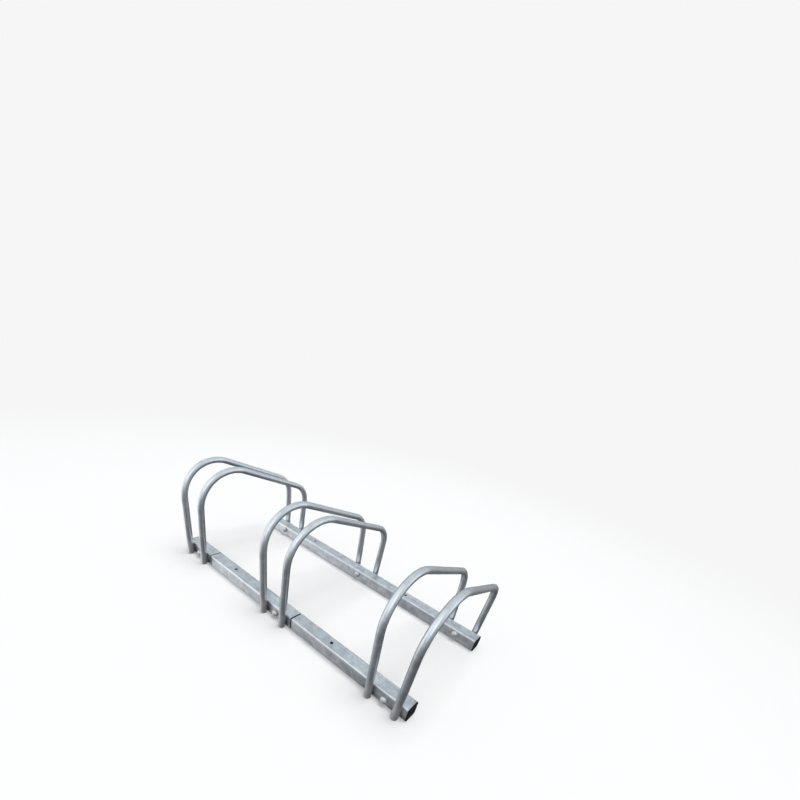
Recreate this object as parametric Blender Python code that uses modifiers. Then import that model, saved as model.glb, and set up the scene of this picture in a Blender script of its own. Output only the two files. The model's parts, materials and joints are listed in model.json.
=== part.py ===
"""A low floor rack: bent tube hoops, standing in leaning pairs on two rails of square tube.

X runs along the rails, Y from the tall side of the hoops to the low side, Z up from the floor.
The origin is on the floor, in the middle of the rack. All sizes are in metres.
"""
import math

import bmesh
import bpy

# Rails: two lines of square tube, each in one length for each pair of hoops. Every pair stands at the
# right end of its length. The front rail's seams stand open and the rear rail's are pushed tight.
RAIL_WIDTH = 0.030
RAIL_WALL = 0.0012
RAIL_CORNER = 0.003
RAIL_SPAN = 0.304
FRONT_SEAM_GAP = 0.0035
REAR_SEAM_GAP = 0.0003
ANCHOR_HOLE = 0.007

# Where the anchor holes are, from the middle between two pairs, for the holes from left to right
FRONT_ANCHOR_OFFSETS = (-0.017, 0.003)
REAR_ANCHOR_OFFSETS = (-0.033, -0.003)

# Pairs of hoops along the rails
PAIR_PITCH = 0.314
PAIR_COUNT = 3
HOOP_SPACING = 0.0635
FOOT_OVERHANG = 0.01825

# One hoop: a tall leg, a round shoulder, a bar that falls towards the rear, a heel bend and a short leg
HOOP_TUBE = 0.015
HOOP_WALL = 0.001
HOOP_LEAN = math.radians(2.15)
SHOULDER_START = 0.149
SHOULDER_RADIUS = 0.0875
BAR_FALL = math.radians(19.1)
HEEL_RADIUS = 0.053
FOOT_LIFT = 0.0006

# Sleeves inside the rails, each from under a pair of hoops across the seam to the right of it
SLEEVE_WALL = 0.0012
SLEEVE_GRIP = 0.032
SLEEVE_CLEARANCE = 0.0003
SLEEVE_SETBACK = 0.002

# Plugs that close the rails' open ends
PLUG_FLANGE = 0.0025
PLUG_SKIRT = 0.012
PLUG_WALL = 0.002
PLUG_CLEARANCE = 0.0003

# One bolt, washer and nut through the rail under each pair of hoops, off the rail's middle line.
# The tubes of both rails are drilled alike, and those of the rear rail lie the other way up.
BOLT_OFFSET = 0.003
BOLT_DIAMETER = 0.006
BOLT_PROTRUSION = 0.0025
BOLT_CHAMFER = 0.0006
BOLT_CLEARANCE = 0.0003
HEAD_DIAMETER = 0.015
HEAD_RIM = 0.0025
HEAD_DOME = 0.004
WASHER_DIAMETER = 0.0125
WASHER_THICKNESS = 0.0016
NUT_SIDES = 6
NUT_ACROSS_FLATS = 0.010
NUT_HEIGHT = 0.005

# Clearance between pieces that touch on the real rack
TOUCH_GAP = 0.0003

# How finely round shapes are drawn
SHOULDER_STEPS = 10
HEEL_STEPS = 6
HOOP_BEVEL_RESOLUTION = 4
CORNER_SEGMENTS = 3
TURNED_STEPS = 20
HOLE_SIDES = 20
DOME_STEPS = 4
SMOOTH_ANGLE = math.radians(30)
MERGE_DISTANCE = 0.00001

# Sizes worked out from the ones above
FOOTING_LENGTH = HOOP_SPACING + 2 * FOOT_OVERHANG
LEG_REACH = RAIL_SPAN / 2 + TOUCH_GAP + HOOP_TUBE / 2
RAIL_CENTRE = RAIL_SPAN / 2 - RAIL_WIDTH / 2
BORE_WIDTH = RAIL_WIDTH - 2 * RAIL_WALL
BORE_CORNER = RAIL_CORNER - RAIL_WALL
BOLT_HOLE = BOLT_DIAMETER + 2 * BOLT_CLEARANCE
BOLT_LENGTH = RAIL_WIDTH + WASHER_THICKNESS + NUT_HEIGHT + 3 * TOUCH_GAP + BOLT_PROTRUSION

RAILS = {"front": -RAIL_CENTRE, "rear": RAIL_CENTRE}
BOLT_HEIGHTS = {"front": RAIL_WIDTH / 2 - BOLT_OFFSET, "rear": RAIL_WIDTH / 2 + BOLT_OFFSET}
SEAM_GAPS = {"front": FRONT_SEAM_GAP, "rear": REAR_SEAM_GAP}
ANCHOR_OFFSETS = {"front": FRONT_ANCHOR_OFFSETS, "rear": REAR_ANCHOR_OFFSETS}


def clear_scene():
    """Remove every object that the file opened with."""
    for found in list(bpy.data.objects):
        bpy.data.objects.remove(found, do_unlink=True)


def new_collection(name):
    """Make a collection in the scene."""
    made = bpy.data.collections.new(name)
    bpy.context.scene.collection.children.link(made)
    return made


def new_material(name, colour, roughness, metallic):
    """Make a Principled BSDF material."""
    made = bpy.data.materials.new(name)
    made.use_nodes = True
    shader = made.node_tree.nodes["Principled BSDF"]
    shader.inputs["Base Color"].default_value = (*colour, 1.0)
    shader.inputs["Roughness"].default_value = roughness
    shader.inputs["Metallic"].default_value = metallic
    return made


def place(obj, collection, parent, location, material=None):
    """Put an object in its collection, under its parent, at a place relative to that parent."""
    collection.objects.link(obj)
    obj.parent = parent
    obj.location = location
    if material is not None:
        obj.data.materials.append(material)
    return obj


def mesh_object(name, shape):
    """Turn a bmesh into an object and free the bmesh."""
    mesh = bpy.data.meshes.new(name)
    shape.to_mesh(mesh)
    shape.free()
    return bpy.data.objects.new(name, mesh)


def cut(obj, cutter):
    """Cut one object out of another with a Boolean modifier."""
    boolean = obj.modifiers.new(f"cut by {cutter.name}", "BOOLEAN")
    boolean.operation = "DIFFERENCE"
    boolean.object = cutter


def square_tube(name, length, width, wall, corner):
    """A square tube along X, centred on its own origin: an open box with round corners and a wall."""
    shape = bmesh.new()
    bmesh.ops.create_cube(shape, size=1.0)
    bmesh.ops.scale(shape, vec=(length, width, width), verts=shape.verts)
    shape.normal_update()
    ends = [face for face in shape.faces if abs(face.normal.x) > 0.5]
    bmesh.ops.delete(shape, geom=ends, context="FACES_ONLY")
    tube = mesh_object(name, shape)
    bevel = tube.modifiers.new("corner radius", "BEVEL")
    bevel.width = corner
    bevel.segments = CORNER_SEGMENTS
    bevel.limit_method = "ANGLE"
    solidify = tube.modifiers.new("wall", "SOLIDIFY")
    solidify.thickness = wall
    solidify.offset = -1.0
    solidify.use_even_offset = True
    return tube


def round_bar(name, diameter, length, sides):
    """A plain round or many-sided bar along Z, centred on its own origin."""
    shape = bmesh.new()
    radius = diameter / 2
    bmesh.ops.create_cone(shape, cap_ends=True, segments=sides, radius1=radius, radius2=radius, depth=length)
    bar = mesh_object(name, shape)
    bar.data.shade_smooth()
    bar.data.set_sharp_from_angle(angle=SMOOTH_ANGLE)
    return bar


def turned(name, profile):
    """A turned solid about Z. The profile runs down its outer side as (radius, height) points."""
    shape = bmesh.new()
    points = [shape.verts.new((radius, 0.0, height)) for radius, height in profile]
    for upper, lower in zip(points, points[1:]):
        shape.edges.new((upper, lower))
    obj = mesh_object(name, shape)
    screw = obj.modifiers.new("turn", "SCREW")
    screw.axis = "Z"
    screw.steps = TURNED_STEPS
    screw.render_steps = TURNED_STEPS
    screw.use_merge_vertices = True
    screw.merge_threshold = MERGE_DISTANCE
    screw.use_smooth_shade = True
    return obj


def arc(centre_y, centre_z, radius, start, end, steps):
    """Points on an arc in the YZ plane, from one angle to another, with both ends."""
    angles = [start + (end - start) * step / steps for step in range(steps + 1)]
    return [(centre_y + radius * math.cos(a), centre_z + radius * math.sin(a)) for a in angles]


def hoop_path():
    """The hoop's centre line as (y, z) points, from the foot of its tall leg to that of its short leg."""
    top_angle = math.pi / 2 - BAR_FALL
    shoulder_y = -LEG_REACH + SHOULDER_RADIUS
    shoulder = arc(shoulder_y, SHOULDER_START, SHOULDER_RADIUS, math.pi, top_angle, SHOULDER_STEPS)
    bar_start_y, bar_start_z = shoulder[-1]
    corner_z = bar_start_z - (LEG_REACH - bar_start_y) * math.tan(BAR_FALL)
    heel_z = corner_z - HEEL_RADIUS * math.tan(top_angle / 2)
    heel = arc(LEG_REACH - HEEL_RADIUS, heel_z, HEEL_RADIUS, top_angle, 0.0, HEEL_STEPS)
    return [(-LEG_REACH, FOOT_LIFT), *shoulder, *heel, (LEG_REACH, FOOT_LIFT)]


def hoop(name):
    """One bent tube, open at both feet."""
    curve = bpy.data.curves.new(name, "CURVE")
    curve.dimensions = "3D"
    curve.bevel_depth = HOOP_TUBE / 2
    curve.bevel_resolution = HOOP_BEVEL_RESOLUTION
    path = hoop_path()
    spline = curve.splines.new("POLY")
    spline.points.add(len(path) - 1)
    for point, (y, z) in zip(spline.points, path):
        point.co = (0.0, y, z, 1.0)
    spline.use_smooth = True
    obj = bpy.data.objects.new(name, curve)
    solidify = obj.modifiers.new("wall", "SOLIDIFY")
    solidify.thickness = HOOP_WALL
    solidify.offset = -1.0
    return obj


def plug(name, outward):
    """An end plug: a flange that covers the rail's end and a hollow skirt that fits inside the rail.

    Its origin is on the rail's end face, in the middle. outward is +1 for a right end, -1 for a left.
    """
    shape = bmesh.new()
    bmesh.ops.create_cube(shape, size=1.0)
    bmesh.ops.scale(shape, vec=(PLUG_FLANGE, RAIL_WIDTH, RAIL_WIDTH), verts=shape.verts)
    shape.normal_update()
    along_x = [edge for edge in shape.edges if edge.verts[0].co.x * edge.verts[1].co.x < 0]
    bmesh.ops.bevel(
        shape, geom=along_x, offset=RAIL_CORNER, segments=CORNER_SEGMENTS, profile=0.5, affect="EDGES"
    )
    shift = outward * (PLUG_FLANGE / 2 + TOUCH_GAP)
    bmesh.ops.translate(shape, vec=(shift, 0.0, 0.0), verts=shape.verts)
    shape.normal_update()
    inner = next(face for face in shape.faces if face.normal.x * outward < -0.5)
    step_in = RAIL_WALL + PLUG_CLEARANCE
    bmesh.ops.inset_individual(shape, faces=[inner], thickness=step_in, use_even_offset=True)
    skirt = bmesh.ops.extrude_discrete_faces(shape, faces=[inner])["faces"][0]
    bmesh.ops.translate(shape, vec=(-outward * (PLUG_SKIRT + TOUCH_GAP), 0.0, 0.0), verts=skirt.verts)
    return mesh_object(name, shape)


def bolt(name):
    """A dome headed bolt along Z, with the underside of its head at its origin."""
    head_radius = HEAD_DIAMETER / 2
    shank_radius = BOLT_DIAMETER / 2
    sphere_radius = (head_radius ** 2 + HEAD_DOME ** 2) / (2 * HEAD_DOME)
    rim_angle = math.asin(head_radius / sphere_radius)
    profile = []
    for step in range(DOME_STEPS + 1):
        angle = rim_angle * step / DOME_STEPS
        height = HEAD_RIM + HEAD_DOME - sphere_radius * (1 - math.cos(angle))
        profile.append((sphere_radius * math.sin(angle), height))
    profile.append((head_radius, 0.0))
    profile.append((shank_radius, 0.0))
    profile.append((shank_radius, BOLT_CHAMFER - BOLT_LENGTH))
    profile.append((shank_radius - BOLT_CHAMFER, -BOLT_LENGTH))
    profile.append((0.0, -BOLT_LENGTH))
    return turned(name, profile)


def nut(name):
    """A plain nut along Z, centred on its own origin, before its hole is cut."""
    return round_bar(name, NUT_ACROSS_FLATS / math.cos(math.pi / NUT_SIDES), NUT_HEIGHT, NUT_SIDES)


def build_hoops(parts, materials, pairs):
    """The two hoops of each pair, each leaning outwards from the slot between them."""
    for number, pair in enumerate(pairs, start=1):
        for side, sign in (("left", -1), ("right", 1)):
            made = hoop(f"hoop_{number}_{side}")
            place(made, parts, pair, (sign * HOOP_SPACING / 2, 0.0, 0.0), materials["hoop"])
            made.rotation_euler.y = sign * HOOP_LEAN


def build_rail_length(rail, number, parts, cutters, materials, pair):
    """The length of rail under a pair of hoops, with its bolt, washer and nut on one axis.

    The first length is only as long as the pair's footing. Each later one starts at the seam to the
    right of the pair before, and has an anchor hole through its top and bottom walls on the way.
    """
    y = RAILS[rail]
    middle = RAIL_WIDTH / 2
    bolt_height = BOLT_HEIGHTS[rail]
    hole = round_bar(f"bolt_hole_{rail}_{number}", BOLT_HOLE, 2 * BOLT_LENGTH, HOLE_SIDES)
    place_cutter(hole, cutters, pair, (0.0, y, bolt_height))
    hole.rotation_euler.x = math.pi / 2

    length = FOOTING_LENGTH if number == 1 else PAIR_PITCH - SEAM_GAPS[rail]
    tube = square_tube(f"{rail}_rail_{number}", length, RAIL_WIDTH, RAIL_WALL, RAIL_CORNER)
    place(tube, parts, pair, ((FOOTING_LENGTH - length) / 2, y, middle), materials["rail"])
    cut(tube, hole)
    if number > 1:
        offsets = ANCHOR_OFFSETS[rail]
        anchor_x = offsets[(number - 2) % len(offsets)] - PAIR_PITCH / 2
        anchor = round_bar(f"anchor_hole_{rail}_{number}", ANCHOR_HOLE, 2 * RAIL_WIDTH, HOLE_SIDES)
        place_cutter(anchor, cutters, pair, (anchor_x, y, middle))
        cut(tube, anchor)

    if number < PAIR_COUNT:
        left = FOOTING_LENGTH / 2 - PLUG_SKIRT - SLEEVE_SETBACK
        right = FOOTING_LENGTH / 2 + SEAM_GAPS[rail] + SLEEVE_GRIP
        sleeve_width = BORE_WIDTH - 2 * SLEEVE_CLEARANCE
        sleeve_corner = BORE_CORNER - SLEEVE_CLEARANCE
        sleeve = square_tube(f"{rail}_sleeve_{number}", left + right, sleeve_width, SLEEVE_WALL, sleeve_corner)
        place(sleeve, parts, pair, ((right - left) / 2, y, middle), materials["sleeve"])
        cut(sleeve, hole)

    head_seat = y - RAIL_WIDTH / 2 - TOUCH_GAP
    made = bolt(f"{rail}_bolt_{number}")
    place(made, parts, pair, (0.0, head_seat, bolt_height), materials["bolt"])
    made.rotation_euler.x = math.pi / 2

    washer_y = y + RAIL_WIDTH / 2 + TOUCH_GAP + WASHER_THICKNESS / 2
    washer = round_bar(f"{rail}_washer_{number}", WASHER_DIAMETER, WASHER_THICKNESS, TURNED_STEPS)
    place(washer, parts, pair, (0.0, washer_y, bolt_height), materials["washer"])
    washer.rotation_euler.x = math.pi / 2
    cut(washer, hole)

    nut_y = washer_y + WASHER_THICKNESS / 2 + TOUCH_GAP + NUT_HEIGHT / 2
    made = nut(f"{rail}_nut_{number}")
    place(made, parts, pair, (0.0, nut_y, bolt_height), materials["nut"])
    made.rotation_euler.x = math.pi / 2
    cut(made, hole)


def build_plug(rail, side, outward, parts, cutters, materials, pair):
    """A plug in one open end of a rail, with its pocket cut from inside the rail."""
    y = RAILS[rail]
    middle = RAIL_WIDTH / 2
    end = outward * FOOTING_LENGTH / 2
    made = plug(f"{rail}_plug_{side}", outward)
    place(made, parts, pair, (end, y, middle), materials["plug"])

    pocket_width = BORE_WIDTH - 2 * PLUG_CLEARANCE - 2 * PLUG_WALL
    shape = bmesh.new()
    bmesh.ops.create_cube(shape, size=1.0)
    bmesh.ops.scale(shape, vec=(2 * PLUG_SKIRT, pocket_width, pocket_width), verts=shape.verts)
    pocket = mesh_object(f"plug_pocket_{rail}_{side}", shape)
    place_cutter(pocket, cutters, pair, (end - outward * PLUG_SKIRT, y, middle))
    cut(made, pocket)


def place_cutter(obj, cutters, parent, location):
    """Put a cutter in its collection, drawn as wire and left out of renders."""
    place(obj, cutters, parent, location)
    obj.hide_render = True
    obj.display_type = "WIRE"


def build_materials():
    """One material for each kind of sub-part."""
    return {
        "hoop": new_material("hoop zinc plated tube", (0.50, 0.51, 0.52), 0.38, 0.85),
        "rail": new_material("rail zinc plated square tube", (0.53, 0.55, 0.57), 0.42, 0.85),
        "sleeve": new_material("sleeve plain steel", (0.33, 0.33, 0.34), 0.5, 0.9),
        "plug": new_material("plug black plastic", (0.012, 0.012, 0.013), 0.5, 0.0),
        "bolt": new_material("bolt bright zinc", (0.72, 0.73, 0.75), 0.28, 1.0),
        "washer": new_material("washer bright zinc", (0.66, 0.67, 0.69), 0.32, 1.0),
        "nut": new_material("nut bright zinc", (0.68, 0.69, 0.71), 0.3, 1.0),
    }


def main():
    """Build the whole rack."""
    clear_scene()
    parts = new_collection("bike_rack_stand")
    cutters = new_collection("cutters")
    materials = build_materials()

    root = bpy.data.objects.new("rack_origin", None)
    parts.objects.link(root)
    pairs = []
    for number in range(1, PAIR_COUNT + 1):
        pair = bpy.data.objects.new(f"pair_{number}_origin", None)
        place(pair, parts, root, ((number - (PAIR_COUNT + 1) / 2) * PAIR_PITCH, 0.0, 0.0))
        pairs.append(pair)

    build_hoops(parts, materials, pairs)
    for rail in RAILS:
        for number, pair in enumerate(pairs, start=1):
            build_rail_length(rail, number, parts, cutters, materials, pair)
        build_plug(rail, "left", -1, parts, cutters, materials, pairs[0])
        build_plug(rail, "right", 1, parts, cutters, materials, pairs[-1])


main()
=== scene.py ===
"""Looks of a low floor rack: bent hoops of zinc plated tube, welded in pairs to two rails of square tube.

X runs along the rails, Y from the tall side of the hoops to their low side, Z up from the floor.
Sizes are in metres unless a name ends in _mm, and angles are in radians.
"""

import json
import logging
import math
from collections.abc import Iterable, Sequence
from dataclasses import dataclass, field
from enum import Enum
from functools import partial
from typing import Any

import bmesh
import bpy
from bmesh.types import BMesh
from bpy.types import Material, Mesh, Node, NodeSocket, NodeTree, Object
from mathutils import Matrix, Vector


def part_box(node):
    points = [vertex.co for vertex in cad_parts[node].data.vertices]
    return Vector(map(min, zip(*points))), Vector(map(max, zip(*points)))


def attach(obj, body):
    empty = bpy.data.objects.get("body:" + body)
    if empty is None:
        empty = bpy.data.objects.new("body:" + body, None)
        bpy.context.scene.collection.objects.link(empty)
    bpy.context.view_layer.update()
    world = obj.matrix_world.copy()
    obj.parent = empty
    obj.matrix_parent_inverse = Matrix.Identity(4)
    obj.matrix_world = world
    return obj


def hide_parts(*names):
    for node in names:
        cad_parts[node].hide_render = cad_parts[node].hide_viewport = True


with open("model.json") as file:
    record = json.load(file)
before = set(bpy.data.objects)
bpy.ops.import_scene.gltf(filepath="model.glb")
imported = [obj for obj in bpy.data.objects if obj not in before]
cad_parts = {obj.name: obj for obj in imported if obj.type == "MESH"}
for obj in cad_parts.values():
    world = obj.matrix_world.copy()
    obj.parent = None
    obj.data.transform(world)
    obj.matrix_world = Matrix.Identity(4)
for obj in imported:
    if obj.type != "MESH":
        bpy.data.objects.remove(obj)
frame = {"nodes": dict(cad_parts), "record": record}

log = logging.getLogger("rack")

BODY = "root"
MILLIMETRE = 0.001
PAIR_NUMBERS = (1, 2, 3)
SEAM_NUMBERS = (1, 2)

# Attributes of the hoops' meshes: each point's place on the tube as if it were straight, and how far
# the bending has flattened the tube there
STRAIGHTENED = "straightened"
SQUEEZED = "squeezed"

DEBURR_SEGMENTS = 2


class Rail(Enum):
    """The two rails, by the first word of their CAD nodes."""

    FRONT = "front"
    REAR = "rear"

    @property
    def outward(self) -> int:
        """Which way along Y this rail's outer face looks."""
        return -1 if self is Rail.FRONT else 1


class Side(Enum):
    """Left and right along the rails, by the last word of their CAD nodes."""

    LEFT = "left"
    RIGHT = "right"

    @property
    def sign(self) -> int:
        """Which way along X this side lies."""
        return -1 if self is Side.LEFT else 1


class Lay(Enum):
    """Where a finish's pattern lies: in the rack's own space, or along a tube as if it were straight."""

    IN_SPACE = "in space"
    ALONG_TUBE = "along the tube"


def linear(hex_colour: str) -> tuple[float, float, float, float]:
    """Turn an sRGB hex colour into linear values.

    Args:
        hex_colour: Six hex digits after a hash sign.

    Returns:
        Red, green, blue and an alpha of one.
    """
    shares = [int(hex_colour[i:i + 2], 16) / 255 for i in (1, 3, 5)]
    red, green, blue = (s / 12.92 if s <= 0.04045 else ((s + 0.055) / 1.055) ** 2.4 for s in shares)
    return red, green, blue, 1.0


def scale_of(size_mm: float) -> float:
    """Turn the size of a texture's pattern into its scale."""
    return 1 / (size_mm * MILLIMETRE)


def add_node(tree: NodeTree, kind: str, inputs: dict[str | int, Any] | None = None, **settings: Any) -> Node:
    """Add a node, set it up and link what feeds it.

    Args:
        tree: The node tree that gets the node.
        kind: The node's type name.
        inputs: For each input, by name or number, a value, the socket that feeds it, or a node whose
            first output in use feeds it.
        settings: The node's own settings, by name.

    Returns:
        The new node.
    """
    node = tree.nodes.new(kind)
    for name, value in settings.items():
        setattr(node, name, value)
    for key, value in (inputs or {}).items():
        if isinstance(value, Node):
            value = next(output for output in value.outputs if output.enabled)
        if isinstance(value, NodeSocket):
            tree.links.new(value, node.inputs[key])
        else:
            node.inputs[key].default_value = value
    return node


def new_material(name: str) -> tuple[Material, NodeTree]:
    """Make an empty node material.

    Args:
        name: The material's name.

    Returns:
        The material and its node tree.
    """
    material = bpy.data.materials.new(name)
    material.use_nodes = True
    material.node_tree.nodes.clear()
    return material, material.node_tree


def box_centre(node: str) -> Vector:
    """Find the middle of a CAD node's box."""
    low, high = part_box(node)
    return (low + high) / 2


def box_size(node: str) -> Vector:
    """Find how large a CAD node's box is."""
    low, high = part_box(node)
    return high - low


def object_from(name: str, shape: BMesh) -> Object:
    """Put a bmesh in the scene as an object at the origin.

    Args:
        name: The name of the object and its mesh.
        shape: The bmesh, which is used up.

    Returns:
        The new object.
    """
    mesh = bpy.data.meshes.new(name)
    shape.to_mesh(mesh)
    shape.free()
    made = bpy.data.objects.new(name, mesh)
    bpy.context.scene.collection.objects.link(made)
    return made


def add_modifier(piece: Object, name: str, kind: str, **settings: Any) -> None:
    """Add a modifier and set it up.

    Args:
        piece: The object that gets the modifier.
        name: The modifier's name.
        kind: Its type.
        settings: Its settings, by name.
    """
    modifier = piece.modifiers.new(name, kind)
    for key, value in settings.items():
        setattr(modifier, key, value)


def deburr(piece: Object, width: float, least_angle: float) -> None:
    """Take off a piece's sharp edges.

    Args:
        piece: The piece.
        width: How wide each edge becomes.
        least_angle: How much the faces beside an edge have to bend.
    """
    where = {"limit_method": "ANGLE", "angle_limit": least_angle}
    add_modifier(piece, "deburred edges", "BEVEL", width=width, segments=DEBURR_SEGMENTS, **where)


def shade(mesh: Mesh, sharp_angle: float) -> None:
    """Shade a mesh smooth, apart from the edges that bend more than an angle."""
    mesh.shade_smooth()
    mesh.set_sharp_from_angle(angle=sharp_angle)


def set_plain(piece: Object) -> None:
    """Replace an object's mesh and modifiers by the plain mesh that they give.

    Args:
        piece: The object.
    """
    graph = bpy.context.evaluated_depsgraph_get()
    made = bpy.data.meshes.new_from_object(
        piece.evaluated_get(graph), preserve_all_data_layers=True, depsgraph=graph
    )
    raw = piece.data
    piece.modifiers.clear()
    piece.data = made
    bpy.data.meshes.remove(raw)
    made.name = piece.name


def hand_over(piece: Object, nodes: Sequence[str] = ()) -> None:
    """Tie a finished piece to the CAD model and report it.

    Args:
        piece: The finished piece.
        nodes: The CAD nodes that it stands for.
    """
    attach(piece, BODY)
    if nodes:
        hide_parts(*nodes)
    log.info("%s: %d faces, for %s", piece.name, len(piece.data.polygons), ", ".join(nodes) or "no node")


def polar(radius: float, angle: float, height: float) -> Vector:
    """Give the point at an angle and a distance from the Z axis."""
    return Vector((radius * math.cos(angle), radius * math.sin(angle), height))


def circles(section: Iterable[tuple[float, float]], sides: int) -> list[list[Vector]]:
    """Turn each point of a section round Z.

    Args:
        section: Points as (radius, height).
        sides: How many points each circle gets.

    Returns:
        One ring for each point of the section.
    """
    angles = [math.tau * step / sides for step in range(sides)]
    return [[polar(radius, angle, height) for angle in angles] for radius, height in section]


def skin(rings: Sequence[Sequence[Vector]], has_hole: bool = False) -> BMesh:
    """Close a skin over a stack of rings.

    Args:
        rings: Closed rings of equally many points, each turning the same way about the stack's axis.
        has_hole: Whether the last ring joins the first, as round a hole, or both get a flat cap.

    Returns:
        The closed shape, with its faces pointing out.
    """
    shape = bmesh.new()
    rows = [[shape.verts.new(point) for point in ring] for ring in rings]
    for lower, upper in zip(rows, rows[1:] + rows[:has_hole]):
        for i in range(len(lower)):
            j = (i + 1) % len(lower)
            shape.faces.new((lower[i], lower[j], upper[j], upper[i]))
    if not has_hole:
        shape.faces.new(rows[0])
        shape.faces.new(rows[-1])
    bmesh.ops.recalc_face_normals(shape, faces=shape.faces)
    return shape


class GeometryRecipe:
    """A Geometry Nodes tree, with the identifier behind each of its named inputs."""

    def __init__(self, name: str, inputs: dict[str, str]) -> None:
        """Start a tree that takes geometry, some named sizes and a material.

        Args:
            name: The tree's name.
            inputs: The kind of each named size, as the last word of its socket type.
        """
        self.tree = bpy.data.node_groups.new(name, "GeometryNodeTree")
        sockets = self.tree.interface
        sockets.new_socket("Geometry", in_out="OUTPUT", socket_type="NodeSocketGeometry")
        sockets.new_socket("Geometry", in_out="INPUT", socket_type="NodeSocketGeometry")
        self.identifiers = {
            label: sockets.new_socket(label, in_out="INPUT", socket_type=f"NodeSocket{kind}").identifier
            for label, kind in {**inputs, "Material": "Material"}.items()
        }
        self.given = add_node(self.tree, "NodeGroupInput").outputs

    def finish(self, geometry: Node) -> None:
        """End the tree: realize instances, set the material and give the result.

        Args:
            geometry: The node whose geometry is the result.
        """
        real = add_node(self.tree, "GeometryNodeRealizeInstances", {"Geometry": geometry})
        inputs = {"Geometry": real, "Material": self.given["Material"]}
        dressed = add_node(self.tree, "GeometryNodeSetMaterial", inputs)
        add_node(self.tree, "NodeGroupOutput", {"Geometry": dressed})

    def put_on(self, piece: Object, values: dict[str, Any]) -> None:
        """Add the tree to an object as a modifier.

        Args:
            piece: The object.
            values: What each named input gets.
        """
        modifier = piece.modifiers.new(self.tree.name, "NODES")
        modifier.node_group = self.tree
        for label, value in values.items():
            modifier[self.identifiers[label]] = value


@dataclass(frozen=True)
class PaintedLegShade:
    """Painted shade on a rail's outer faces: dark grey, low in the corners between the rail and each leg,
    darkest against the floor.
    """

    pair_pitch: float
    leg_spacing: float
    colour: str = "#3c3d40"
    outer_face: float = 0.1515
    leg: float = 0.0075
    reach: float = 0.026
    ragged: float = 0.03
    top: float = 0.017

    def share(self, tree: NodeTree, place: NodeSocket, noise: Node) -> Node:
        """Find how much painted shade there is: most beside a leg, against the floor.

        Args:
            tree: The material's tree.
            place: Where a point lies on the rack.
            noise: What makes the patch's edge ragged.

        Returns:
            The node that gives the share of painted shade.
        """
        add = partial(add_node, tree)
        parts = add("ShaderNodeSeparateXYZ", {"Vector": place}).outputs
        off_pair = add("ShaderNodeMath", {0: parts["X"], 1: self.pair_pitch / 2}, operation="PINGPONG")
        off_leg = add("ShaderNodeMath", {0: off_pair, 1: self.leg_spacing / 2}, operation="SUBTRACT")
        distance = add("ShaderNodeMath", {0: off_leg}, operation="ABSOLUTE")
        uneven = add("ShaderNodeMath", {0: noise, 1: -self.ragged, 2: distance}, operation="MULTIPLY_ADD")
        falling = {"To Min": 1.0, "To Max": 0.0}
        start = self.leg - self.ragged / 2
        beside = {"Value": uneven, "From Min": start, "From Max": start + self.reach, **falling}
        near = add("ShaderNodeMapRange", beside, interpolation_type="SMOOTHSTEP")
        low = add("ShaderNodeMapRange", {"Value": parts["Z"], "From Max": self.top, **falling})
        across = add("ShaderNodeMath", {0: parts["Y"]}, operation="ABSOLUTE")
        outside = add("ShaderNodeMath", {0: across, 1: self.outer_face}, operation="GREATER_THAN")
        patch = add("ShaderNodeMath", {0: near, 1: low}, operation="MULTIPLY")
        return add("ShaderNodeMath", {0: patch, 1: outside}, operation="MULTIPLY")


@dataclass(frozen=True)
class PaintedFloorGlow:
    """Painted light near both ends of a tube, where its feet stand: a pale glow that stands in for light
    thrown up from the floor.
    """

    tube_length: float
    colour: str = "#f6f8fa"
    most: float = 0.8
    full: float = 0.024
    gone: float = 0.058

    def share(self, tree: NodeTree, place: NodeSocket, _: Node) -> Node:
        """Find how much painted light there is, by the distance from the nearer end.

        Args:
            tree: The material's tree.
            place: Where a point lies on the tube as if it were straight.
            _: The clouds in the plating, which leave this band even.

        Returns:
            The node that gives the share of painted light.
        """
        add = partial(add_node, tree)
        along = add("ShaderNodeSeparateXYZ", {"Vector": place}).outputs["X"]
        from_end = add("ShaderNodeMath", {0: along, 1: self.tube_length / 2}, operation="PINGPONG")
        band = {"From Min": self.full, "From Max": self.gone, "To Min": self.most, "To Max": 0.0}
        return add("ShaderNodeMapRange", {"Value": from_end, **band}, interpolation_type="SMOOTHSTEP")


@dataclass(frozen=True)
class PaintedCornerHighlight:
    """A painted highlight: a pale band on a rail's faces, just under its upper corners, that widens the
    corners' own highlight.
    """

    colour: str = "#f6f8fa"
    most: float = 0.65
    height: float = 0.0265
    reach: float = 0.0035

    def share(self, tree: NodeTree, place: NodeSocket, _: Node) -> Node:
        """Find how much painted highlight there is, by the distance from the band's middle.

        Args:
            tree: The material's tree.
            place: Where a point lies on the rack.
            _: The clouds in the plating, which leave this band even.

        Returns:
            The node that gives the share of painted highlight.
        """
        add = partial(add_node, tree)
        up = add("ShaderNodeSeparateXYZ", {"Vector": place}).outputs["Z"]
        above = add("ShaderNodeMath", {0: up, 1: self.height}, operation="SUBTRACT")
        distance = add("ShaderNodeMath", {0: above}, operation="ABSOLUTE")
        band = {"From Max": self.reach, "To Min": self.most, "To Max": 0.0}
        return add("ShaderNodeMapRange", {"Value": distance, **band}, interpolation_type="SMOOTHSTEP")


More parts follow.
